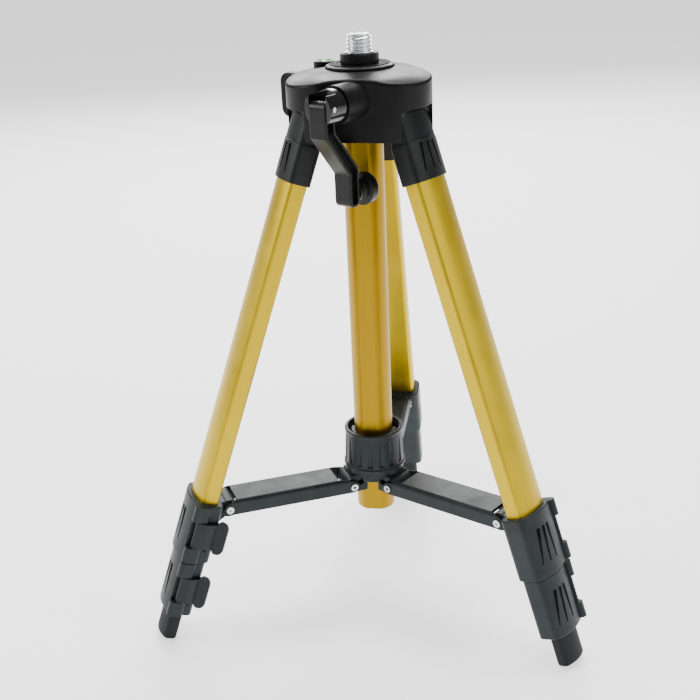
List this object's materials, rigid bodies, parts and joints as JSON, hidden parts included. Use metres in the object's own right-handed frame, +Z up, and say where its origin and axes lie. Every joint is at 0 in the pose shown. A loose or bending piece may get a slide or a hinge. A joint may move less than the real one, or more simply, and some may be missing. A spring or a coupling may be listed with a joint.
{
  "type": "surveyor tripod",
  "caption": "Compact surveyor tripod with telescopic D-section legs on flip levers, a sliding brace spider, and a rack-and-pinion centre column ending in a threaded instrument stud.",
  "frame": {"origin": "centre column's axis in the plane the feet stand on", "axes": "+Z up the centre column towards the stud, +Y towards the rear leg, +X to the right as seen with the crank in front"},
  "size_m": [0.2868, 0.2548, 0.3826],
  "materials": {
    "crown_plastic": "fine moulded grain",
    "sleeve_plastic": "fine moulded grain",
    "collar_plastic": "fine moulded grain",
    "leg_paint": "golden satin anodised aluminium",
    "lever_plastic": "satin",
    "crank_gloss": "gloss",
    "crank_satin": "satin",
    "stud_chrome": "bright plating",
    "rivet_steel": "bright",
    "gear_steel": "machined",
    "bush_plastic": "natural acetal",
    "foot_rubber": "matt",
    "level_liquid": "clear green liquid behind a clear lid"
  },
  "bodies": {
    "crown": {"crown_housing": "crown_plastic", "crown_base_cover": "crown_plastic", "cover_screws": "rivet_steel", "column_bush": "bush_plastic", "crank_bush": "bush_plastic", "guide_tube": "leg_paint", "guide_tube_plug": "crown_plastic", "leg_hinge_pins": "rivet_steel", "level_cup": "crown_plastic", "level_vial": "level_liquid"},
    "column": {"column_tube": "leg_paint", "column_rack": "gear_steel", "column_end_cap": "bush_plastic", "head_disc": "crown_plastic", "head_collar": "crown_plastic", "instrument_stud": "stud_chrome"},
    "pinion": {"pinion_gear": "gear_steel", "pinion_shaft": "gear_steel"},
    "crank_hub": {"crank_hub": "crank_gloss", "crank_fold_pin": "rivet_steel"},
    "crank_arm": {"crank_arm": "crank_satin", "crank_knob_pin": "rivet_steel"},
    "crank_knob": {"crank_knob": "crank_satin"},
    "lock_knob": {"lock_knob": "crown_plastic", "lock_screw": "rivet_steel"},
    "brace_hub": {"brace_hub": "collar_plastic"},
    "brace_ring": {"brace_lock_ring": "collar_plastic"},
    "left_leg": {"left_hinge_sleeve": "sleeve_plastic", "left_outer_tube": "leg_paint", "left_upper_collar": "collar_plastic"},
    "left_middle": {"left_middle_tube": "leg_paint", "left_lower_collar": "collar_plastic"},
    "left_lower": {"left_lower_tube": "leg_paint", "left_foot": "foot_rubber"},
    "left_upper_flip": {"left_upper_lever": "lever_plastic"},
    "left_lower_flip": {"left_lower_lever": "lever_plastic"},
    "left_brace": {"left_brace_strut": "collar_plastic", "left_strut_rivets": "rivet_steel"},
    "right_leg": {"right_hinge_sleeve": "sleeve_plastic", "right_outer_tube": "leg_paint", "right_upper_collar": "collar_plastic"},
    "right_middle": {"right_middle_tube": "leg_paint", "right_lower_collar": "collar_plastic"},
    "right_lower": {"right_lower_tube": "leg_paint", "right_foot": "foot_rubber"},
    "right_upper_flip": {"right_upper_lever": "lever_plastic"},
    "right_lower_flip": {"right_lower_lever": "lever_plastic"},
    "right_brace": {"right_brace_strut": "collar_plastic", "right_strut_rivets": "rivet_steel"},
    "rear_leg": {"rear_hinge_sleeve": "sleeve_plastic", "rear_outer_tube": "leg_paint", "rear_upper_collar": "collar_plastic"},
    "rear_middle": {"rear_middle_tube": "leg_paint", "rear_lower_collar": "collar_plastic"},
    "rear_lower": {"rear_lower_tube": "leg_paint", "rear_foot": "foot_rubber"},
    "rear_upper_flip": {"rear_upper_lever": "lever_plastic"},
    "rear_lower_flip": {"rear_lower_lever": "lever_plastic"},
    "rear_brace": {"rear_brace_strut": "collar_plastic", "rear_strut_rivets": "rivet_steel"}
  },
  "joints": [
    {"name": "column_lift", "type": "slide", "parent": "crown", "child": "column", "axis": [0, 0, 1], "range_m": [0, 0.18]},
    {"name": "pinion_turn", "type": "hinge", "parent": "crown", "child": "pinion", "pos_m": [0.01464, -0.00845, 0.349], "axis": [0.5, 0.866, 0], "range_deg": [-1, 1378]},
    {"name": "crank_turn", "type": "hinge", "parent": "crown", "child": "crank_hub", "pos_m": [0.01464, -0.00845, 0.349], "axis": [-0.5, -0.866, 0], "range_deg": [-10, 120]},
    {"name": "crank_fold", "type": "hinge", "parent": "crank_hub", "child": "crank_arm", "pos_m": [-0.01336, -0.05695, 0.349], "axis": [-0.866, 0.5, 0], "range_deg": [0, 180]},
    {"name": "knob_spin", "type": "hinge", "parent": "crank_arm", "child": "crank_knob", "pos_m": [0.00214, -0.0301, 0.296], "axis": [-0.5, -0.866, 0], "continuous": true},
    {"name": "lock_turn", "type": "hinge", "parent": "crown", "child": "lock_knob", "pos_m": [0, 0, 0.343], "axis": [-0.866, 0.5, 0], "range_deg": [0, 360]},
    {"name": "brace_slide", "type": "slide", "parent": "crown", "child": "brace_hub", "axis": [0, 0, 1], "range_m": [0, 0.05807]},
    {"name": "ring_turn", "type": "hinge", "parent": "brace_hub", "child": "brace_ring", "pos_m": [0, 0, 0.11], "axis": [0, 0, 1], "range_deg": [0, 60]},
    {"name": "left_leg_fold", "type": "hinge", "parent": "crown", "child": "left_leg", "pos_m": [-0.02901, -0.01675, 0.34], "axis": [0.5, -0.866, 0], "range_deg": [0, 5.6]},
    {"name": "left_strut_swing", "type": "hinge", "parent": "left_leg", "child": "left_brace", "pos_m": [-0.0926, -0.05346, 0.09004], "axis": [0.5, -0.866, 0], "range_deg": [0, 41.5]},
    {"name": "left_middle_slide", "type": "slide", "parent": "left_leg", "child": "left_middle", "axis": [-0.2962, -0.171, -0.9397], "range_m": [0, 0.19]},
    {"name": "left_lower_slide", "type": "slide", "parent": "left_middle", "child": "left_lower", "axis": [-0.2962, -0.171, -0.9397], "range_m": [0, 0.19]},
    {"name": "left_upper_flip_turn", "type": "hinge", "parent": "left_leg", "child": "left_upper_flip", "pos_m": [-0.10507, -0.08133, 0.08111], "axis": [-0.2962, -0.171, -0.9397], "range_deg": [0, 110]},
    {"name": "left_lower_flip_turn", "type": "hinge", "parent": "left_middle", "child": "left_lower_flip", "pos_m": [-0.11771, -0.08667, 0.04227], "axis": [-0.2962, -0.171, -0.9397], "range_deg": [0, 110]},
    {"name": "right_leg_fold", "type": "hinge", "parent": "crown", "child": "right_leg", "pos_m": [0.02901, -0.01675, 0.34], "axis": [0.5, 0.866, 0], "range_deg": [0, 5.6]},
    {"name": "right_strut_swing", "type": "hinge", "parent": "right_leg", "child": "right_brace", "pos_m": [0.0926, -0.05346, 0.09004], "axis": [0.5, 0.866, 0], "range_deg": [0, 41.5]},
    {"name": "right_middle_slide", "type": "slide", "parent": "right_leg", "child": "right_middle", "axis": [0.2962, -0.171, -0.9397], "range_m": [0, 0.19]},
    {"name": "right_lower_slide", "type": "slide", "parent": "right_middle", "child": "right_lower", "axis": [0.2962, -0.171, -0.9397], "range_m": [0, 0.19]},
    {"name": "right_upper_flip_turn", "type": "hinge", "parent": "right_leg", "child": "right_upper_flip", "pos_m": [0.12297, -0.05033, 0.08111], "axis": [0.2962, -0.171, -0.9397], "range_deg": [0, 110]},
    {"name": "right_lower_flip_turn", "type": "hinge", "parent": "right_middle", "child": "right_lower_flip", "pos_m": [0.13391, -0.05861, 0.04227], "axis": [0.2962, -0.171, -0.9397], "range_deg": [0, 110]},
    {"name": "rear_leg_fold", "type": "hinge", "parent": "crown", "child": "rear_leg", "pos_m": [0, 0.0335, 0.34], "axis": [-1, 0, 0], "range_deg": [0, 5.6]},
    {"name": "rear_strut_swing", "type": "hinge", "parent": "rear_leg", "child": "rear_brace", "pos_m": [0, 0.10692, 0.09004], "axis": [-1, 0, 0], "range_deg": [0, 41.5]},
    {"name": "rear_middle_slide", "type": "slide", "parent": "rear_leg", "child": "rear_middle", "axis": [0, 0.342, -0.9397], "range_m": [0, 0.19]},
    {"name": "rear_lower_slide", "type": "slide", "parent": "rear_middle", "child": "rear_lower", "axis": [0, 0.342, -0.9397], "range_m": [0, 0.19]},
    {"name": "rear_upper_flip_turn", "type": "hinge", "parent": "rear_leg", "child": "rear_upper_flip", "pos_m": [-0.0179, 0.13166, 0.08111], "axis": [0, 0.342, -0.9397], "range_deg": [0, 110]},
    {"name": "rear_lower_flip_turn", "type": "hinge", "parent": "rear_middle", "child": "rear_lower_flip", "pos_m": [-0.0162, 0.14527, 0.04227], "axis": [0, 0.342, -0.9397], "range_deg": [0, 110]}
  ],
  "couplings": [
    {"joint": "pinion_turn", "follows": "column_lift", "rad_per_m": 133.33},
    {"joint": "left_leg_fold", "follows": "brace_slide", "rad_per_m": 1.6558},
    {"joint": "left_strut_swing", "follows": "brace_slide", "rad_per_m": 12.268},
    {"joint": "right_leg_fold", "follows": "brace_slide", "rad_per_m": 1.6558},
    {"joint": "right_strut_swing", "follows": "brace_slide", "rad_per_m": 12.268},
    {"joint": "rear_leg_fold", "follows": "brace_slide", "rad_per_m": 1.6558},
    {"joint": "rear_strut_swing", "follows": "brace_slide", "rad_per_m": 12.268}
  ]
}
